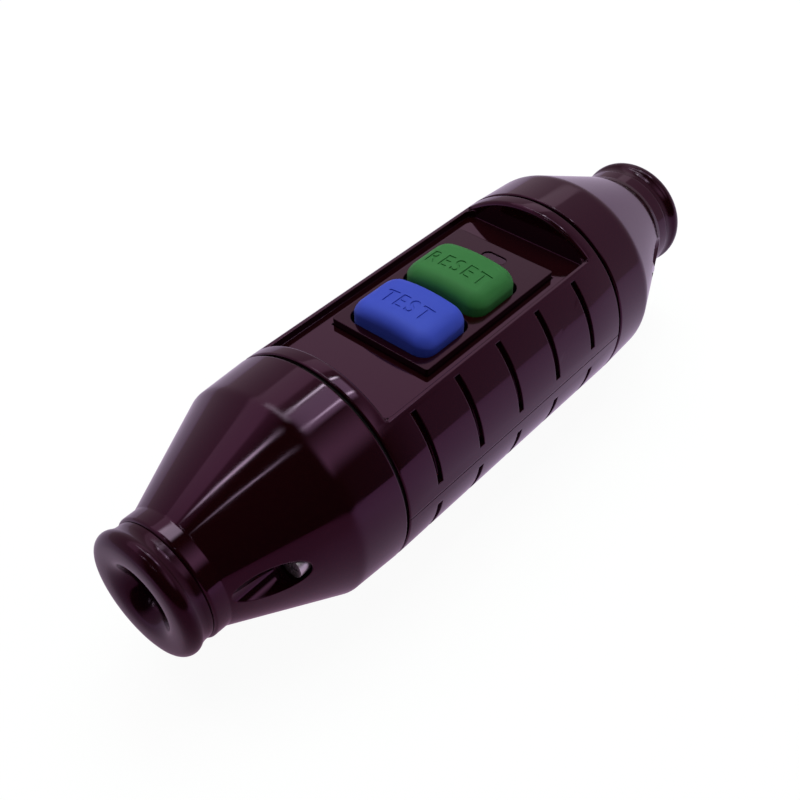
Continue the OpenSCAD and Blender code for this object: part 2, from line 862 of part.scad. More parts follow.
module clamp_screws(side) {
  color(steel) lifted() at_end(side) both_sides() translate([cap_x + clamp_at, cscrew_y, 0]) difference() {
    union() {
      translate([0, 0, -cscrew_low]) cylinder(r = cscrew_r, h = cscrew_low + clamp_h + 0.1);
      translate([0, 0, clamp_h]) cylinder(r = cscrew_head, h = 2);
    }
    translate([0, 0, clamp_h + 2]) cube([0.7, 4.2, 2], center = true);
  }
}

// Buttons

// One ring of a button's outline: inset from the side, height, and share of the crown's drop
function button_ring(inset, z, share, n) = [
  for (i = [0:n - 1])
    let (
      a = 360*i/n,
      p = 0.42,
      x = (button_l/2 - inset)*sign(cos(a))*pow(abs(cos(a)), p),
      y = (button_w/2 - inset)*sign(sin(a))*pow(abs(sin(a)), p)
    )
    [x, y, z - share*button_sag*pow(2*y/button_w, 2)]
];

// A pillow with a crown that falls to its two ends, on a skirt that is held under the plate
module button(x) {
  n = 48;
  top = plate_z + button_h;
  f = button_round;
  steps = 6;
  sides = [
    button_ring(0, skirt_z, 0, n),
    for (i = [0:steps])
      let (a = 90*i/steps)
      button_ring(f*(1 - cos(a)), top - f + f*sin(a), 1, n),
    for (k = [0.66, 0.33])
      [for (p = button_ring(f, top, 0, n))
        [k*p.x, k*p.y, top - button_sag*pow(2*k*p.y/button_w, 2)]]
  ];
  points = concat([for (r = sides) each r], [[0, 0, skirt_z], [0, 0, top]]);
  m = len(sides);
  walls = [
    for (i = [0:m - 2], j = [0:n - 1])
      let (k = (j + 1)%n, a = i*n + j, b = i*n + k)
      each [[a, b + n, b], [a, a + n, b + n]]
  ];
  low = [for (j = [0:n - 1]) [m*n, j, (j + 1)%n]];
  high = [for (j = [0:n - 1]) [m*n + 1, (m - 1)*n + (j + 1)%n, (m - 1)*n + j]];
  translate([x, 0, 0]) union() {
    polyhedron(points, concat(walls, low, high));
    translate([0, 0, skirt_z]) linear_extrude(ceiling_z - skirt_z - 0.1)
      polygon(plan(button_l + 2*lip_t, button_w + 2*lip_t, 3));
  }
}

// A disc and stem under a button
module plunger(x) {
  color(white) lifted() translate([x, 0, 0]) union() {
    translate([0, 0, skirt_z - disc_t]) cylinder(r = disc_r, h = disc_t);
    translate([0, 0, stem_z]) cylinder(r = stem_r, h = skirt_z - stem_z - disc_t + eps);
  }
}

module button_spring(x) {
  color(steel) lifted() translate([x, 0, 0]) helix(coil_r, wire_d, coil_turns, spring_z0, spring_z1);
}

// Armature: a rod in the coil with a wedge that lifts the carrier as it is drawn along
module armature() {
  low = floor_z + run;
  top = carrier_z - 0.1;
  x0 = wedge_x - contact_gap;
  x1 = carrier_x0 - 1;
  color(steel) lifted() union() {
    rod_x(rod_r, magnet_x0 + 4, x0 + eps, 0, magnet_z);
    translate([0, wedge_w/2, 0]) rotate([90, 0, 0]) linear_extrude(wedge_w)
      polygon([[x0, low], [x1 + top - low, low], [x1, top], [x0, top]]);
  }
}

module contact_carrier() {
  low = carrier_low;
  top = carrier_z;
  x0 = carrier_x0;
  // The ramp keeps an even gap above the armature's wedge
  ramp = carrier_x0 - 1 + carrier_z - 0.1 + run;
  color("#d8cfa8") lifted() difference() {
    translate([0, carrier_w/2, 0]) rotate([90, 0, 0]) linear_extrude(carrier_w)
      polygon([[x0, top], [x0, ramp - x0], [ramp - low, low], [carrier_x1, low], [carrier_x1, top]]);
    for (s = [-1, 1])
      translate([pin_x, s*pole_pitch/2, low - over]) cylinder(r = pin_r + run, h = top - low + 2*over);
  }
}

module moving_contacts() {
  color(copper) lifted() each_pole()
    box([carrier_x0, -bar_w/2, carrier_z], [load_end + bridge_lap, bar_w/2, carrier_z + bridge_t]);
}

// A red vane that rises to the window when the contacts are closed
module indicator_flag() {
  top = ceiling_z - 0.8 - 2*run - contact_gap;
  x0 = carrier_x1 - 1.6;
  color("#b3201c") lifted() translate([0, pole_pitch/2, 0]) union() {
    box([x0, -0.9, carrier_z], [carrier_x1, 0.9, top]);
    translate([window_x, -pole_pitch/2, top - 1.2])
      linear_extrude(1.2) polygon(plan(window_l - 0.4, window_w - 0.6, 1));
  }
}

module contact_springs() {
  color(steel) lifted() for (s = [-1, 1])
    translate([coil_spring_x, s*pole_pitch/2, 0]) helix(1.2, spring_wire, 4, carrier_z, board_z);
}

body_sleeve();
end_cap(-1);  // test_end_cap
end_cap(1);  // reset_end_cap
end_seal(-1);  // test_end_seal
end_seal(1);  // reset_end_seal
cable_sleeve(-1);  // test_end_cable_sleeve
cable_sleeve(1);  // reset_end_cable_sleeve
cap_screws(-1);  // test_end_cap_screws
cap_screws(1);  // reset_end_cap_screws
chassis();
module_case();
module_base();
module_gasket();
module_screws();
indicator_lens();
guide_plate();
circuit_board();
tact_switch(test_x);  // test_switch
tact_switch(reset_x);  // reset_switch
board_capacitors();
control_chip();
transformer_core();
transformer_winding();
magnet_yoke();
magnet_bobbin();
magnet_winding();
line_conductors();
load_conductors();
terminal_block(line_x, -1);  // line_terminal_block
terminal_block(load_x, 1);  // load_terminal_block
terminals(line_x, -1);  // line_terminals
terminals(load_x, 1);  // load_terminals
terminal_screws(line_x, -1);  // line_terminal_screws
terminal_screws(load_x, 1);  // load_terminal_screws
cord_clamp(-1);  // test_end_cord_clamp
cord_clamp(1);  // reset_end_cord_clamp
clamp_screws(-1);  // test_end_clamp_screws
clamp_screws(1);  // reset_end_clamp_screws
color("#3f4fb5") lifted() button(test_x);  // test_button
plunger(test_x);  // test_plunger
button_spring(test_x);  // test_spring
color("#3c7a41") lifted() button(reset_x);  // reset_button
plunger(reset_x);  // reset_plunger
button_spring(reset_x);  // reset_spring
armature();
contact_carrier();
moving_contacts();
indicator_flag();
contact_springs();
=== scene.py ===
# %% [markdown]
# # A round in-line residual current device
#
# The real thing is a glossy moulded unit that is wired into a mains lead. Two soft buttons sit in a tray on
# top, and a rubber sleeve at each end takes the lead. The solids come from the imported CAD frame, in metres,
# so every piece already has its true size and place. This lesson dresses them: it finds the camera, mixes
# the finishes, remodels what is soft, and lights the set.

# %% Load the frame
from math import pi, radians

import bmesh
import bpy
from mathutils import Matrix, Vector


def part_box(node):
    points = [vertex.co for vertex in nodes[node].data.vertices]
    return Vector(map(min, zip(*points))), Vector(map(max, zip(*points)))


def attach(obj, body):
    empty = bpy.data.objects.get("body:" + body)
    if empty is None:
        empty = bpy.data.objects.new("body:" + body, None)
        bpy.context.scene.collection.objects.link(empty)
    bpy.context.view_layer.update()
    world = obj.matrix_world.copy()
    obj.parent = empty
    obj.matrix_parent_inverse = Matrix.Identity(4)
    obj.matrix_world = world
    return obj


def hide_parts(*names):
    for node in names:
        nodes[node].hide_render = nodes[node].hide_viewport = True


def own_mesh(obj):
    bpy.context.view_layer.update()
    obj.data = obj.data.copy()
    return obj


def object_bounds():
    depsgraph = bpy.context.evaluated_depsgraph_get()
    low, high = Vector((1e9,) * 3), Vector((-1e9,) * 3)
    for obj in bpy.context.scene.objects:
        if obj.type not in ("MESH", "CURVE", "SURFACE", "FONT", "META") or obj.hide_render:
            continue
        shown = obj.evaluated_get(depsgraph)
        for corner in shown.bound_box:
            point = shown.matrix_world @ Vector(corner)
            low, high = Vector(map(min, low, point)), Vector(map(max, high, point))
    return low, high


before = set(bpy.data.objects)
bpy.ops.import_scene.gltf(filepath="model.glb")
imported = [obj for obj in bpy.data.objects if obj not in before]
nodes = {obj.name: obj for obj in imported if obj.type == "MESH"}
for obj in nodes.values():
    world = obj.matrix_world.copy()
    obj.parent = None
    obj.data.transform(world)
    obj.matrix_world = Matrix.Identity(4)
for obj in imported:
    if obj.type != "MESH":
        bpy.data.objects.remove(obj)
cad_low, cad_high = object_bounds()
MM = 0.001
print("frame:", len(nodes), "nodes, box", [round(v, 4) for v in cad_high - cad_low])

# %% [markdown]
# ## The camera
#
# The photograph was taken from above one end, close enough for the near end to look larger. The place of
# the camera was worked out from the two round seams, which are circles of the same size in the real object.
# A camera needs a place, a point to look at, a small roll because it was hand-held, and a lens.

# %% Camera
EYE = Vector((-189.0, -154.3, 246.6)) * MM
AIM = Vector((-16.2, -1.5, 33.0)) * MM
ROLL = radians(-0.92)
LENS_MM = 49.8
SENSOR_MM = 36
NEAREST_SEEN = 10.0 * MM

camera = bpy.data.objects.new("camera", bpy.data.cameras.new("camera"))
camera.data.lens = LENS_MM
camera.data.sensor_width = SENSOR_MM
camera.data.clip_start = NEAREST_SEEN
turn = (AIM - EYE).to_track_quat("-Z", "Y").to_matrix().to_4x4()
camera.matrix_world = Matrix.Translation(EYE) @ turn @ Matrix.Rotation(ROLL, 4, "Z")
bpy.context.scene.collection.objects.link(camera)
bpy.context.scene.camera = camera
print("camera:", round((AIM - EYE).length, 3), "m from the middle of the object")

# %% [markdown]
# ## Helpers for materials
#
# A colour picked from a screen is an sRGB value, but the renderer adds light, so it needs linear values.
# One function turns the one into the other. A second one adds a shader node, sets it up and links it, and a
# third one starts a material, which keeps each recipe below short enough to read.

# %% Colour and node helpers
def linear(hex_colour):
    """A hex sRGB colour as linear red, green, blue and alpha."""
    parts = [int(hex_colour[i:i + 2], 16) / 255 for i in (1, 3, 5)]
    return [c / 12.92 if c <= 0.04045 else ((c + 0.055) / 1.055) ** 2.4 for c in parts] + [1.0]


def add(tree, kind, inputs=None, **settings):
    """A new node with its settings; an input is given a value, or a socket to link from."""
    node = tree.nodes.new("ShaderNode" + kind)
    for key, value in settings.items():
        setattr(node, key, value)
    for key, value in (inputs or {}).items():
        if isinstance(value, bpy.types.NodeSocket):
            tree.links.new(value, node.inputs[key])
        else:
            node.inputs[key].default_value = value
    return node


def blank(name):
    """A material with an empty node tree, and the Object coordinates that its patterns read."""
    material = bpy.data.materials.new(name)
    material.use_nodes = True
    tree = material.node_tree
    tree.nodes.clear()
    return material, tree, add(tree, "TexCoord").outputs["Object"]


def per_mm(size_mm):
    """The scale that makes a noise pattern's features about that many millimetres across."""
    return 1 / (size_mm * MM)


print("helpers:", [round(c, 3) for c in linear("#804040")])

# %% [markdown]
# ## Moulded plastics
#
# Most of the unit is injection-moulded. Such a surface copies a polished tool, so it is glossy, but it
# isn't a perfect mirror: the wall shrinks a little unevenly and leaves long shallow waves, and handling
# leaves a haze that varies from place to place. One recipe mixes those: a slow colour change, a cloudy
# roughness, and a shallow bump. The Bevel node rounds the edges for the light, as the tool's edges are
# never quite sharp. On the real caps the crease where the cone starts is much softer than the other edges,
# so the recipe can widen the rounding there.

# %% Recipe for moulded plastic
WHITE = "#ffffff"
PLASTIC_IOR = 1.53
EDGE_SOFT = 0.4 * MM
# how far the crease lies from the middle of the unit, and its rounding
CREASE_PLACE = 65.0 * MM
CREASE_SOFT = 3.0 * MM
# the rounding shrinks to that of the other edges between these distances from the crease
CREASE_NEAR = 3.0 * MM
CREASE_FAR = 7.0 * MM
CLOUD_MM = 38
SMEAR_MM = 9
# most of a noise pattern lies between two such values, so they span the whole haze
SMEAR_SPAN = (0.35, 0.7)


def moulded(name, colour, shade, roughness, haze, wave_mm, wave_height_mm,
            tint=WHITE, ior=PLASTIC_IOR, creased=False):
    material, tree, place = blank(name)
    cloud = add(tree, "TexNoise", {"Vector": place, "Scale": per_mm(CLOUD_MM), "Detail": 3.0})
    smear = add(tree, "TexNoise", {"Vector": place, "Scale": per_mm(SMEAR_MM), "Detail": 5.0,
                                   "Roughness": 0.6})
    wave = add(tree, "TexNoise", {"Vector": place, "Scale": per_mm(wave_mm), "Detail": 1.0})
    base = add(tree, "Mix", {"Factor": cloud.outputs["Fac"], 6: linear(colour), 7: linear(shade)},
               data_type="RGBA")
    rough = add(tree, "MapRange", {"Value": smear.outputs["Fac"], "From Min": SMEAR_SPAN[0],
                                   "From Max": SMEAR_SPAN[1], "To Min": roughness,
                                   "To Max": roughness + haze})
    edge = add(tree, "Bevel", {"Radius": EDGE_SOFT}, samples=6)
    if creased:
        along = add(tree, "SeparateXYZ", {"Vector": place})
        out = add(tree, "Math", {0: along.outputs["X"]}, operation="ABSOLUTE")
        past = add(tree, "Math", {0: out.outputs[0], 1: CREASE_PLACE}, operation="SUBTRACT")
        away = add(tree, "Math", {0: past.outputs[0]}, operation="ABSOLUTE")
        soft = add(tree, "MapRange", {"Value": away.outputs[0], "From Min": CREASE_NEAR,
                                      "From Max": CREASE_FAR, "To Min": CREASE_SOFT,
                                      "To Max": EDGE_SOFT})
        tree.links.new(soft.outputs["Result"], edge.inputs["Radius"])
    bump = add(tree, "Bump", {"Height": wave.outputs["Fac"], "Strength": 1.0,
                              "Distance": wave_height_mm * MM, "Normal": edge.outputs["Normal"]})
    shader = add(tree, "BsdfPrincipled", {"Base Color": base.outputs[2],
                                          "Roughness": rough.outputs["Result"], "IOR": ior,
                                          "Specular Tint": linear(tint), "Normal": bump.outputs["Normal"]})
    add(tree, "OutputMaterial", {"Surface": shader.outputs["BSDF"]})
    return material


# nearly black, a warm purple-brown, with reflections that lean to pink as they do in the photograph
PLUM = "#1b0405"
PLUM_SHADE = "#170203"
PINK = "#ffa6e6"
# ABS from a polished tool, with clear reflections
shell_abs = moulded("polished_abs_purple_brown", PLUM, PLUM_SHADE, 0.05, 0.04, 14, 0.010, tint=PINK,
                    creased=True)
# the button plate is the same plastic from a slightly duller tool, and it mirrors less
PLATE_IOR = 1.40
plate_abs = moulded("satin_abs_purple_brown", PLUM, PLUM_SHADE, 0.08, 0.05, 10, 0.008, tint=PINK,
                    ior=PLATE_IOR)
print("plastics:", shell_abs.name, plate_abs.name)

# %% [markdown]
# The inside is made of engineering plastics. Nylon is milky and semi-matt, glass-filled plastic is grey and
# dull because fibres break its skin, and the circuit board is green lacquer over woven glass.

# %% Inner plastics
nylon = moulded("natural_nylon", "#e3dfd2", "#d8d3c4", 0.42, 0.12, 5, 0.010)
filled = moulded("glass_filled_polyamide", "#58555a", "#4c4a50", 0.55, 0.15, 1.5, 0.015)
insulator = moulded("urea_moulding", "#d3c79b", "#c6b98b", 0.35, 0.12, 4, 0.008)
lacquer = moulded("board_lacquer_on_woven_glass", "#1f5a30", "#194d28", 0.28, 0.10, 0.9, 0.010)
epoxy = moulded("black_moulding_epoxy", "#1d1d1f", "#161618", 0.5, 0.15, 0.8, 0.010)
shrink = moulded("blue_shrink_sleeve", "#27386b", "#1f2f5c", 0.25, 0.1, 3, 0.010)
flag_abs = moulded("red_signal_abs", "#b3201c", "#a01a17", 0.3, 0.1, 4, 0.008)
ferrite = moulded("sintered_ferrite", "#57585c", "#4a4b50", 0.6, 0.2, 0.6, 0.015)
print("inner plastics:", len(bpy.data.materials), "materials so far")

# %% [markdown]
# ## Rubber and silicone
#
# The buttons are silicone rubber: the colour goes right through, the surface is matt, and a faint bloom
# makes it look soft at the edges, which the sheen of the shader gives. The cable sleeves are a harder
# rubber with a moulded polish, and the seals are plain matt rubber. A fine grain of about half a millimetre
# breaks up the light; the real one is finer, but it would not show at this distance.

# %% Recipe for rubber
RUBBER_IOR = 1.43
BLOOM_MM = 12
FINE_EDGE = 0.12 * MM
NOISE_SPAN = (0.3, 0.7)


def rubber(name, colour, shade, roughness, haze, sheen, grain_mm=0.5, grain_height_mm=0.006, tint=WHITE):
    material, tree, place = blank(name)
    cloud = add(tree, "TexNoise", {"Vector": place, "Scale": per_mm(BLOOM_MM), "Detail": 4.0})
    grain = add(tree, "TexNoise", {"Vector": place, "Scale": per_mm(grain_mm), "Detail": 2.0})
    base = add(tree, "Mix", {"Factor": cloud.outputs["Fac"], 6: linear(colour), 7: linear(shade)},
               data_type="RGBA")
    rough = add(tree, "MapRange", {"Value": cloud.outputs["Fac"], "From Min": NOISE_SPAN[0],
                                   "From Max": NOISE_SPAN[1], "To Min": roughness,
                                   "To Max": roughness + haze})
    edge = add(tree, "Bevel", {"Radius": FINE_EDGE}, samples=4)
    bump = add(tree, "Bump", {"Height": grain.outputs["Fac"], "Strength": 1.0,
                              "Distance": grain_height_mm * MM, "Normal": edge.outputs["Normal"]})
    shader = add(tree, "BsdfPrincipled", {"Base Color": base.outputs[2],
                                          "Roughness": rough.outputs["Result"], "IOR": RUBBER_IOR,
                                          "Sheen Weight": sheen, "Sheen Roughness": 0.5,
                                          "Specular Tint": linear(tint), "Normal": bump.outputs["Normal"]})
    add(tree, "OutputMaterial", {"Surface": shader.outputs["BSDF"]})
    return material


blue_silicone = rubber("blue_silicone", "#394bcd", "#3445c0", 0.62, 0.1, 0.05)
green_silicone = rubber("green_silicone", "#327939", "#2d7134", 0.62, 0.1, 0.05)
sleeve_rubber = rubber("polished_cable_rubber", PLUM, PLUM_SHADE, 0.12, 0.06, 0.0, 3, 0.003, tint=PINK)
seal_rubber = rubber("matt_seal_rubber", "#141213", "#0f0d0e", 0.7, 0.15, 0.05)
print("rubbers:", blue_silicone.name, green_silicone.name, sleeve_rubber.name, seal_rubber.name)

# %% [markdown]
# ## Metals
#
# A metal has no colour of its own under the surface: what shows is the reflection, tinted by the metal.
# Turned and rolled pieces carry fine lines from their making, drawn here as noise that is stretched along
# one axis.

# %% Recipe for metal
LINE_DEPTH = 0.004 * MM


def metal(name, colour, shade, roughness, haze, line_mm, along=(1, 1, 1)):
    material, tree, place = blank(name)
    drawn = add(tree, "Mapping", {"Vector": place, "Scale": along})
    lines = add(tree, "TexNoise", {"Vector": drawn.outputs["Vector"], "Scale": per_mm(line_mm),
                                   "Detail": 3.0})
    base = add(tree, "Mix", {"Factor": lines.outputs["Fac"], 6: linear(colour), 7: linear(shade)},
               data_type="RGBA")
    rough = add(tree, "MapRange", {"Value": lines.outputs["Fac"], "From Min": NOISE_SPAN[0],
                                   "From Max": NOISE_SPAN[1], "To Min": roughness,
                                   "To Max": roughness + haze})
    edge = add(tree, "Bevel", {"Radius": FINE_EDGE}, samples=4)
    bump = add(tree, "Bump", {"Height": lines.outputs["Fac"], "Strength": 0.5, "Distance": LINE_DEPTH,
                              "Normal": edge.outputs["Normal"]})
    shader = add(tree, "BsdfPrincipled", {"Base Color": base.outputs[2], "Metallic": 1.0,
                                          "Roughness": rough.outputs["Result"],
                                          "Normal": bump.outputs["Normal"]})
    add(tree, "OutputMaterial", {"Surface": shader.outputs["BSDF"]})
    return material


zinc_steel = metal("zinc_plated_steel", "#eeecf0", "#dcdade", 0.36, 0.12, 0.6)
spring_steel = metal("drawn_spring_steel", "#b9bbbf", "#a2a4a9", 0.25, 0.12, 0.4, (1, 1, 6))
soft_iron = metal("nickel_plated_soft_iron", "#b4b3ae", "#a09f9a", 0.3, 0.12, 0.5, (0.2, 1, 1))
turned_brass = metal("turned_brass", "#d6b25e", "#c39c48", 0.25, 0.12, 0.4, (4, 1, 1))
copper = metal("drawn_copper", "#c9794a", "#b5683c", 0.28, 0.12, 0.4, (0.2, 1, 1))
print("metals:", zinc_steel.name, spring_steel.name, soft_iron.name, turned_brass.name, copper.name)

# %% [markdown]
# ## The indicator window
#
# The indicator window is smoked polycarbonate, pressed into the plate. Light passes through it, so the
# shader's transmission is full and its colour is the smoke, and fine scratches only show in its roughness.

# %% Indicator window
SMOKE = "#1c1416"
SCUFF_MM = 1.2
SCUFF_SPAN = (0.4, 0.8)
CLEAR_ROUGHNESS = 0.02
SCUFFED_ROUGHNESS = 0.12


def smoked_window():
    material, tree, place = blank("smoked_polycarbonate")
    scuff = add(tree, "TexNoise", {"Vector": place, "Scale": per_mm(SCUFF_MM), "Detail": 5.0})
    rough = add(tree, "MapRange", {"Value": scuff.outputs["Fac"], "From Min": SCUFF_SPAN[0],
                                   "From Max": SCUFF_SPAN[1], "To Min": CLEAR_ROUGHNESS,
                                   "To Max": SCUFFED_ROUGHNESS})
    shader = add(tree, "BsdfPrincipled", {"Base Color": linear(SMOKE), "Roughness": rough.outputs["Result"],
                                          "IOR": PLASTIC_IOR, "Specular Tint": linear(PINK),
                                          "Transmission Weight": 1.0})
    add(tree, "OutputMaterial", {"Surface": shader.outputs["BSDF"]})
    return material


window_smoked = smoked_window()
print("window:", window_smoked.name)

# %% [markdown]
# ## Dress the rigid pieces
#
# The CAD solids of the rigid pieces already have the right shape, so they stay and only change their
# material. A table by material says which piece is made of what. The pieces that aren't in it are modelled
# again further down, and get their material there.

# %% Dress the rigid pieces
MADE_OF = {
    shell_abs: ["test_end_cap", "reset_end_cap"],
    plate_abs: ["module_case"],
    seal_rubber: ["test_end_seal", "reset_end_seal", "module_gasket"],
    zinc_steel: ["test_end_cap_screws", "reset_end_cap_screws", "module_screws", "line_terminal_screws",
                 "load_terminal_screws", "test_end_clamp_screws", "reset_end_clamp_screws"],
    soft_iron: ["magnet_yoke", "armature"],
    turned_brass: ["line_terminals", "load_terminals"],
    copper: ["transformer_winding", "magnet_winding", "line_conductors", "load_conductors",
             "moving_contacts"],
    nylon: ["magnet_bobbin", "line_terminal_block", "load_terminal_block", "test_end_cord_clamp",
            "reset_end_cord_clamp", "test_plunger", "reset_plunger"],
    filled: ["chassis", "module_base", "guide_plate"],
    insulator: ["contact_carrier"],
    lacquer: ["circuit_board"],
    epoxy: ["control_chip", "test_switch", "reset_switch"],
    shrink: ["board_capacitors"],
    flag_abs: ["indicator_flag"],
    ferrite: ["transformer_core"],
    window_smoked: ["indicator_lens"],
}
for material, names in MADE_OF.items():
    for name in names:
        nodes[name].data.materials.clear()
        nodes[name].data.materials.append(material)
print("dressed:", sum(len(names) for names in MADE_OF.values()), "of", len(nodes), "nodes")

# %% [markdown]
# ## Helpers for remodelled pieces
#
# The rest of the object is modelled again, from simple shapes or from a copy of the CAD solid. A CAD mesh
# is loose triangles, so a copy is merged first. Every new piece ends the same way: it becomes an object at
# the origin, smooth except at its sharp edges, and rides on a body.

# %% Helpers for remodelled pieces
SAME_PLACE = 0.001 * MM
SMOOTH_ANGLE = radians(40)


def merged_copy(node):
    """A CAD node's loose triangles as one joined bmesh."""
    bm = bmesh.new()
    bm.from_mesh(nodes[node].data)
    bmesh.ops.remove_doubles(bm, verts=bm.verts, dist=SAME_PLACE)
    return bm


def finished(name, bm, material, body, smooth_angle=SMOOTH_ANGLE):
    """A bmesh as an object at the origin, with a material, riding on a body."""
    mesh = bpy.data.meshes.new(name)
    bm.to_mesh(mesh)
    bm.free()
    # a copy of a CAD node brings its stored normals, which no longer fit once its points are merged
    if "custom_normal" in mesh.attributes:
        mesh.attributes.remove(mesh.attributes["custom_normal"])
    mesh.shade_smooth()
    mesh.set_sharp_from_angle(angle=smooth_angle)
    mesh.materials.append(material)
    piece = bpy.data.objects.new(name, mesh)
    bpy.context.scene.collection.objects.link(piece)
    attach(piece, body)
    return piece


print("remodelled:", len(nodes) - sum(len(names) for names in MADE_OF.values()), "pieces to come")

# %% [markdown]
# ## The soft buttons
#
# Each button is a silicone pillow: a rounded block whose crown falls towards its two ends. A cube becomes
# that shape in four steps. Its upright edges are rolled over to round the outline, its top edges are rolled
# over to make the soft shoulder, planes slice it across so that there are points to move, and those points
# sink towards the ends. The size comes from the CAD button, less the lip that holds it under the plate and
# a little slack.

# %% Shape a button
LIP_AND_SLACK = 0.7 * MM
SHOULDER = 4.0 * MM
OUTLINE_ROUND = 5.2 * MM
CROWN_DROP = 2.0 * MM
OUTLINE_SEGMENTS = 12
SHOULDER_SEGMENTS = 10
SLICES = 36


def crown(y, half_width):
    """How far the crown has sunk at a distance from the middle."""
    return CROWN_DROP * (y / half_width) ** 2


def button_block(node):
    low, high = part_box(node)
    size = high - low - Vector((2 * LIP_AND_SLACK, 2 * LIP_AND_SLACK, 0))
    middle = (low + high) / 2
    bm = bmesh.new()
    bmesh.ops.create_cube(bm, size=1)
    bmesh.ops.scale(bm, vec=size, verts=bm.verts)
    upright = [e for e in bm.edges if abs(e.verts[0].co.z - e.verts[1].co.z) > size.z / 2]
    bmesh.ops.bevel(bm, geom=upright, offset=OUTLINE_ROUND, segments=OUTLINE_SEGMENTS, profile=0.5,
                    affect="EDGES", material=-1)
    top = [e for e in bm.edges if all(v.co.z > size.z / 2 - SAME_PLACE for v in e.verts)]
    bmesh.ops.bevel(bm, geom=top, offset=SHOULDER, segments=SHOULDER_SEGMENTS, profile=0.5,
                    affect="EDGES", material=-1)
    for i in range(1, SLICES):
        cut = Vector((0, size.y * (i / SLICES - 0.5), 0))
        everything = bm.verts[:] + bm.edges[:] + bm.faces[:]
        bmesh.ops.bisect_plane(bm, geom=everything, plane_co=cut, plane_no=(0, 1, 0))
    for v in bm.verts:
        share = min(1, max(0, (v.co.z + size.z / 2 - SHOULDER / 2) / (size.z - SHOULDER)))
        v.co.z -= share * crown(v.co.y, size.y / 2)
    bmesh.ops.translate(bm, vec=middle, verts=bm.verts)
    bmesh.ops.recalc_face_normals(bm, faces=bm.faces)
    return bm, middle, size


print("button recipe: shoulder", SHOULDER / MM, "mm, crown drops", CROWN_DROP / MM, "mm")

# %% [markdown]
# ## Words sunk into the buttons
#
# The function words are sunk into the silicone with a thin stroke. Lettering could be painted on, but real
# grooves catch the shade from every side. Blender's own plain typeface, a hair bolder, is made a mesh, bent
# to follow the crown, and taken out of the button with a Boolean that is applied at once.

# %% Cut a word into a button
WORD_WIDTH = {"TEST": 16.0 * MM, "RESET": 20.2 * MM}
LETTER_HEIGHT = 5.7 * MM
GROOVE_DEPTH = 0.3 * MM
STROKE_OFFSET = 0.004
LETTER_SPACING = 1.25
WORD_SHIFT = -0.9 * MM
# in the typeface's own unit, the height of a line
SAME_LETTER_POINT = 1e-5


def as_mesh(holder):
    """What an object looks like with its modifiers or its text applied, as a new mesh."""
    bpy.context.view_layer.update()
    return bpy.data.meshes.new_from_object(holder.evaluated_get(bpy.context.evaluated_depsgraph_get()))


def word_cutter(word, middle, size):
    text = bpy.data.curves.new(word, "FONT")
    text.body = word
    text.offset = STROKE_OFFSET
    # any height will do, because it only tells the tops of the letters from their bottoms
    text.extrude = 0.5
    text.resolution_u = 6
    text.space_character = LETTER_SPACING
    holder = bpy.data.objects.new(word, text)
    bpy.context.scene.collection.objects.link(holder)
    mesh = as_mesh(holder)
    bpy.data.objects.remove(holder)
    bm = bmesh.new()
    bm.from_mesh(mesh)
    bmesh.ops.remove_doubles(bm, verts=bm.verts, dist=SAME_LETTER_POINT)
    low = Vector(min(v.co[i] for v in bm.verts) for i in range(3))
    high = Vector(max(v.co[i] for v in bm.verts) for i in range(3))
    top = middle.z + size.z / 2
    for v in bm.verts:
        across = ((v.co.x - low.x) / (high.x - low.x) - 0.5) * WORD_WIDTH[word]
        up = ((v.co.y - low.y) / (high.y - low.y) - 0.5) * LETTER_HEIGHT
        bottom = top - crown(across, size.y / 2) - GROOVE_DEPTH
        height = bottom if v.co.z < 0 else top + GROOVE_DEPTH
        v.co = (middle.x + WORD_SHIFT + up, middle.y - across, height)
    bmesh.ops.recalc_face_normals(bm, faces=bm.faces)
    bm.to_mesh(mesh)
    bm.free()
    cutter = bpy.data.objects.new(word + "_cutter", mesh)
    bpy.context.scene.collection.objects.link(cutter)
    return cutter


def make_button(node, word, material, key):
    bm, middle, size = button_block(node)
    piece = finished(node + "_pillow", bm, material, key)
    cutter = word_cutter(word, middle, size)
    cut = piece.modifiers.new("word", "BOOLEAN")
    cut.operation = "DIFFERENCE"
    cut.solver = "EXACT"
    cut.object = cutter
    mesh = as_mesh(piece)
    piece.modifiers.clear()
    piece.data = mesh
    bpy.data.objects.remove(cutter)
    mesh.shade_smooth()
    mesh.set_sharp_from_angle(angle=SMOOTH_ANGLE)
    mesh.materials.clear()
    mesh.materials.append(material)
    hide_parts(node)
    print(node, "with", word, len(mesh.polygons), "faces")


make_button("test_button", "TEST", blue_silicone, "test_key")
make_button("reset_button", "RESET", green_silicone, "reset_key")

# %% [markdown]
# ## The cable sleeves
#
# Each end has a soft rubber sleeve with a fat rolled lip that flows into its neck. The CAD sleeve has the
# right size but plainer rounds. Half a section is drawn as a few corners, a bevel rolls each corner over,
# and the section is spun round the lead, like clay on a wheel. A corner is its depth from the outer end,
# its radius, and how far its rounding reaches, in millimetres.

# %% Cable sleeves
AXIS_HEIGHT = 33.0 * MM
SECTION = [
    (19.0, 6.5, 0.6),
    (5.6, 6.5, 2.2),
    (0.7, 9.0, 2.6),
    (0.0, 13.4, 1.6),
    (0.5, 18.3, 2.7),
    (4.0, 18.3, 0.7),
    (5.7, 17.3, 1.2),
    (8.5, 17.3, 0.25),
    (8.5, 12.9, 0.0),
    (16.5, 12.9, 0.0),
    (16.5, 15.0, 0.0),
    (19.0, 15.0, 0.8),
]
ROLL_SEGMENTS = 8
SPIN_STEPS = 120


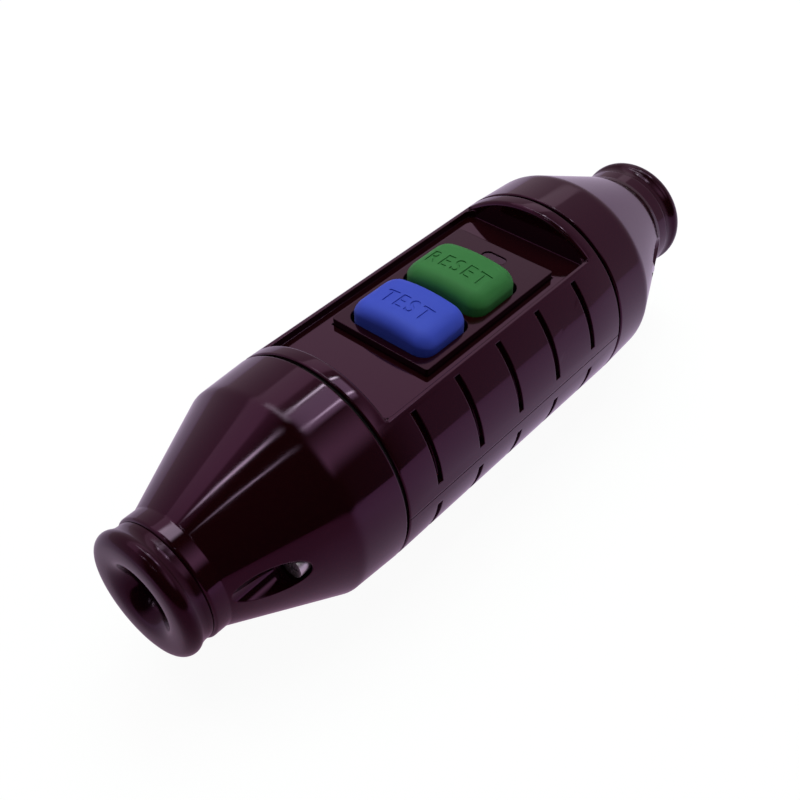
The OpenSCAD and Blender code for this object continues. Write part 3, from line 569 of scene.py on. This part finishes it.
def spun_sleeve(node, end):
    bm = bmesh.new()
    corners = []
    for depth, radius, _ in SECTION:
        place = (end * (cad_high.x - depth * MM), 0, AXIS_HEIGHT + radius * MM)
        corners.append(bm.verts.new(place))
    bm.faces.new(corners)
    for corner, (_, _, reach) in zip(corners, SECTION):
        if reach:
            bmesh.ops.bevel(bm, geom=[corner], offset=reach * MM, segments=ROLL_SEGMENTS, profile=0.5,
                            affect="VERTICES", material=-1)
    bmesh.ops.delete(bm, geom=bm.faces[:], context="FACES_ONLY")
    bmesh.ops.spin(bm, geom=bm.verts[:] + bm.edges[:], cent=(0, 0, AXIS_HEIGHT), axis=(1, 0, 0),
                   dvec=(0, 0, 0), angle=2 * pi, steps=SPIN_STEPS, use_merge=True, use_duplicate=False)
    bmesh.ops.recalc_face_normals(bm, faces=bm.faces)
    sleeve = finished(node + "_roll", bm, sleeve_rubber, "housing")
    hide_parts(node)
    print(sleeve.name, len(sleeve.data.polygons), "faces")


spun_sleeve("test_end_cable_sleeve", -1)
spun_sleeve("reset_end_cable_sleeve", 1)

# %% [markdown]
# ## A round skin for the sleeve
#
# A few long triangles of the CAD sleeve cross its curve as the string crosses a bow. They leave faint flats
# between the grip steps, and a glossy skin shows them at once. A copy of the sleeve takes its place. Each
# edge of the skin that sinks below the curve is cut in half, and the new point is pushed out to the full
# radius.

# %% A round skin for the sleeve
SKIN_RADIUS = 33.0 * MM
SKIN_SLACK = 0.01 * MM
STEEPEST_LEAN = 0.3
SAG = 0.05 * MM
ROUNDS = 3
SKIN_ANGLE = radians(25)


def from_axis(point):
    """The way straight out from the middle line of the lead to a point."""
    return Vector((0, point.y, point.z - AXIS_HEIGHT))


def on_skin(face):
    """Whether a face looks outwards and has all its corners on the full radius."""
    outwards = abs(face.normal.x) < STEEPEST_LEAN
    return outwards and all(abs(from_axis(v.co).length - SKIN_RADIUS) < SKIN_SLACK for v in face.verts)


def sunken(edge):
    """Whether the middle of an edge lies too far below the curve."""
    middle = (edge.verts[0].co + edge.verts[1].co) / 2
    return SKIN_RADIUS - from_axis(middle).length > SAG


def round_skin(node):
    bm = merged_copy(node)
    pushed = 0
    for _ in range(ROUNDS):
        bm.normal_update()
        skin = {face for face in bm.faces if on_skin(face)}
        flat = [e for e in bm.edges if sunken(e) and all(f in skin for f in e.link_faces)]
        cut = bmesh.ops.subdivide_edges(bm, edges=flat, cuts=1)
        for v in [g for g in cut["geom_inner"] if isinstance(g, bmesh.types.BMVert)]:
            out = from_axis(v.co)
            v.co += out * (SKIN_RADIUS / out.length - 1)
            pushed += 1
        bmesh.ops.triangulate(bm, faces=[f for f in bm.faces if len(f.verts) > 3])
    sleeve = finished(node + "_skin", bm, shell_abs, "housing", smooth_angle=SKIN_ANGLE)
    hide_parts(node)
    print(sleeve.name, len(sleeve.data.polygons), "faces,", pushed, "points pushed out")


round_skin("body_sleeve")

# %% [markdown]
# ## Springs
#
# A spring is squeezed between a moving piece and a fixed one. The CAD spring is rigid, so the moving piece
# would cut into it. A copy of each spring takes its place, with a mesh of its own.


def springy(node):
    coil = finished(node + "_coil", merged_copy(node), spring_steel, "housing")
    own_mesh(coil)
    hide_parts(node)


springy("test_spring")
springy("reset_spring")
springy("contact_springs")

# %% [markdown]
# ## Floor
#
# The photograph is a packshot on white. A pale floor reflects in the lower half of the glossy shell and takes
# a soft shadow. For the camera it is lifted nearly to white. What the shell mirrors of it is a painted
# reflection: for mirrored rays the floor glows with a tone of its own, lilac away from the object as painted
# light, and darker and warmer towards the camera as painted shade that stands in for the object's shadow on
# the floor.

# %% Floor
FLOOR_REACH = 4.0
# the two tones of the painted reflection of the floor: warm and dark as painted shade, lilac as painted light
PAINTED_SHADE_TONE = "#996984"
PAINTED_LIGHT_TONE = "#d1b8db"
PAPER = "#f6f6f6"
# the painted reflection goes from warm, dark painted shade to lilac painted light along the lead and away
# from the camera, in metres
PAINTED_TONE_ALONG = (-0.11, 0.01)
PAINTED_TONE_ACROSS = (-0.05, 0.10)
SHARE_LIFTED = 0.92
# how much of the mirrored floor is the painted reflection instead of the lit paper
SHARE_PAINTED_REFLECTION = 0.85
LIFTED_WHITE = 1.03


def floor_material():
    material, tree, place = blank("white_studio_floor")
    ray = add(tree, "LightPath")
    paper = add(tree, "BsdfDiffuse", {"Color": linear(PAPER)})
    white = add(tree, "Emission", {"Color": linear(WHITE), "Strength": LIFTED_WHITE})
    spot = add(tree, "SeparateXYZ", {"Vector": place})
    along = add(tree, "MapRange", {"Value": spot.outputs["X"], "From Min": PAINTED_TONE_ALONG[0],
                                   "From Max": PAINTED_TONE_ALONG[1]})
    across = add(tree, "MapRange", {"Value": spot.outputs["Y"], "From Min": PAINTED_TONE_ACROSS[0],
                                    "From Max": PAINTED_TONE_ACROSS[1]})
    # share of painted light in the mirrored floor: low towards the camera as painted shade, high beyond as
    # painted light
    painted_light_share = add(tree, "Math", {0: along.outputs["Result"], 1: across.outputs["Result"]}, operation="MAXIMUM")
    painted_tone = add(tree, "Mix", {"Factor": painted_light_share.outputs[0], 6: linear(PAINTED_SHADE_TONE), 7: linear(PAINTED_LIGHT_TONE)},
               data_type="RGBA")
    # mirrored rays see this glow, a painted reflection of the floor with painted shade near the object
    painted_reflection = add(tree, "Emission", {"Color": painted_tone.outputs[2], "Strength": 1.0})
    seen = add(tree, "Math", {0: ray.outputs["Is Camera Ray"], 1: SHARE_LIFTED}, operation="MULTIPLY")
    mirrored = add(tree, "Math", {0: ray.outputs["Is Glossy Ray"], 1: SHARE_PAINTED_REFLECTION}, operation="MULTIPLY")
    lifted = add(tree, "MixShader", {0: seen.outputs[0], 1: paper.outputs["BSDF"],
                                     2: white.outputs["Emission"]})
    both = add(tree, "MixShader", {0: mirrored.outputs[0], 1: lifted.outputs["Shader"],
                                   2: painted_reflection.outputs["Emission"]})
    add(tree, "OutputMaterial", {"Surface": both.outputs["Shader"]})
    return material


bm = bmesh.new()
bmesh.ops.create_grid(bm, x_segments=1, y_segments=1, size=FLOOR_REACH)
mesh = bpy.data.meshes.new("floor")
bm.to_mesh(mesh)
bm.free()
mesh.materials.append(floor_material())
floor = bpy.data.objects.new("floor", mesh)
bpy.context.scene.collection.objects.link(floor)
print("floor:", round(floor.dimensions.x, 1), "m square")

# %% [markdown]
# ## Studio and lamps
#
# A glossy black thing shows the room, not itself. The room is dark on the camera's side and grey behind the
# object, so the world mirrors dark or grey by direction. A wide panel behind and above gives the flat faces
# their even sheen, a window with two bright edges makes the broken strips along the near cap, two slanted
# bars draw the fine lines down the cone, and a wide dim card lifts the near side. A soft panel that no
# surface mirrors lights the matt buttons from above. Each lamp fades towards its edges, so its reflection
# has no hard outline. The shell mirrors pink, so the window and the bars are a little green, which makes
# their reflections lilac as in the photograph.

# %% Studio world
DARK_ROOM = 0.02
GREY_BEHIND = 0.46
GREY_BEYOND = 0.42
# the room turns from dark to grey between these directions across and along the lead
TURN_BEHIND = (0.10, 0.45)
TURN_BEYOND = (0.38, 0.72)
SOFT_FILL = 0.13
ROOM_HUE = "#ffe2f6"


def studio_world():
    world = bpy.data.worlds.new("studio")
    world.use_nodes = True
    tree = world.node_tree
    tree.nodes.clear()
    ray = add(tree, "LightPath")
    way = add(tree, "SeparateXYZ", {"Vector": add(tree, "TexCoord").outputs["Generated"]})
    behind = add(tree, "MapRange", {"Value": way.outputs["Y"], "From Min": TURN_BEHIND[0],
                                    "From Max": TURN_BEHIND[1], "To Min": DARK_ROOM,
                                    "To Max": GREY_BEHIND})
    beyond = add(tree, "MapRange", {"Value": way.outputs["X"], "From Min": TURN_BEYOND[0],
                                    "From Max": TURN_BEYOND[1], "To Min": DARK_ROOM,
                                    "To Max": GREY_BEYOND})
    room = add(tree, "Math", {0: behind.outputs["Result"], 1: beyond.outputs["Result"]},
               operation="MAXIMUM")
    light = add(tree, "Mix", {"Factor": ray.outputs["Is Glossy Ray"], 2: SOFT_FILL, 3: room.outputs[0]})
    shown = add(tree, "Mix", {"Factor": ray.outputs["Is Camera Ray"], 2: light.outputs[0], 3: 1.0})
    hue = add(tree, "Mix", {"Factor": ray.outputs["Is Glossy Ray"], 6: linear(WHITE), 7: linear(ROOM_HUE)},
              data_type="RGBA")
    back = add(tree, "Background", {"Color": hue.outputs[2], "Strength": shown.outputs[0]})
    add(tree, "OutputWorld", {"Surface": back.outputs["Background"]})
    return world


bpy.context.scene.world = studio_world()
bpy.context.scene.view_settings.view_transform = "Standard"
print("world:", bpy.context.scene.world.name)

# %% Lamps
GLASS_GREEN = "#c4ffdb"
GLASS_PALE = "#e1fff7"


def panel(name, middle, size, radiance, turn=0, fade=0.2, colour=WHITE, mirrored=True):
    """A rectangular lamp that fades at its edges; its power follows from how bright it looks."""
    lamp = bpy.data.lights.new(name, "AREA")
    lamp.shape = "RECTANGLE"
    lamp.size, lamp.size_y = size
    lamp.energy = pi * size[0] * size[1] * radiance
    lamp.use_nodes = True
    tree = lamp.node_tree
    tree.nodes.clear()
    place = add(tree, "SeparateXYZ", {"Vector": add(tree, "NewGeometry").outputs["Parametric"]})
    soft = []
    for axis in "XY":
        inset = add(tree, "Math", {0: place.outputs[axis], 1: 0.5}, operation="PINGPONG")
        soft.append(add(tree, "MapRange", {"Value": inset.outputs[0], "From Min": 0.0, "From Max": fade},
                        interpolation_type="SMOOTHSTEP").outputs["Result"])
    glow = add(tree, "Math", {0: soft[0], 1: soft[1]}, operation="MULTIPLY")
    light = add(tree, "Emission", {"Color": linear(colour), "Strength": glow.outputs[0]})
    add(tree, "OutputLight", {"Surface": light.outputs["Emission"]})
    holder = bpy.data.objects.new(name, lamp)
    holder.location = middle
    holder.rotation_euler.z = radians(turn)
    holder.visible_glossy = mirrored
    bpy.context.scene.collection.objects.link(holder)


panel("back_panel", (0.55, 0.73, 1.0), (2.4, 0.66), 0.44, fade=0.1)
panel("window", (0.48, 0.0, 1.0), (0.36, 0.53), 2.1, fade=0.2, colour=GLASS_PALE)
panel("window_edge_far", (0.48, 0.233, 0.99), (0.40, 0.06), 24, fade=0.45, colour=GLASS_GREEN)
panel("window_edge_near", (0.48, -0.116, 0.99), (0.40, 0.055), 19, fade=0.45, colour=GLASS_GREEN)
panel("side_window", (0.24, 0.36, 0.99), (0.16, 0.64), 6.4, fade=0.22, colour=GLASS_GREEN)
panel("slanted_bar_far", (-0.44, 0.20, 1.0), (0.38, 0.045), 16, turn=115, fade=0.45, colour=GLASS_GREEN)
panel("slanted_bar_near", (-0.495, -0.18, 1.0), (0.34, 0.035), 8.5, turn=118, fade=0.45, colour=GLASS_GREEN)
panel("near_patch", (0.34, -0.85, 1.0), (1.15, 1.5), 1.05, fade=0.5)
panel("soft_key", (0.2, 0.3, 1.2), (1.2, 1.2), 2.05, fade=0.05, mirrored=False)
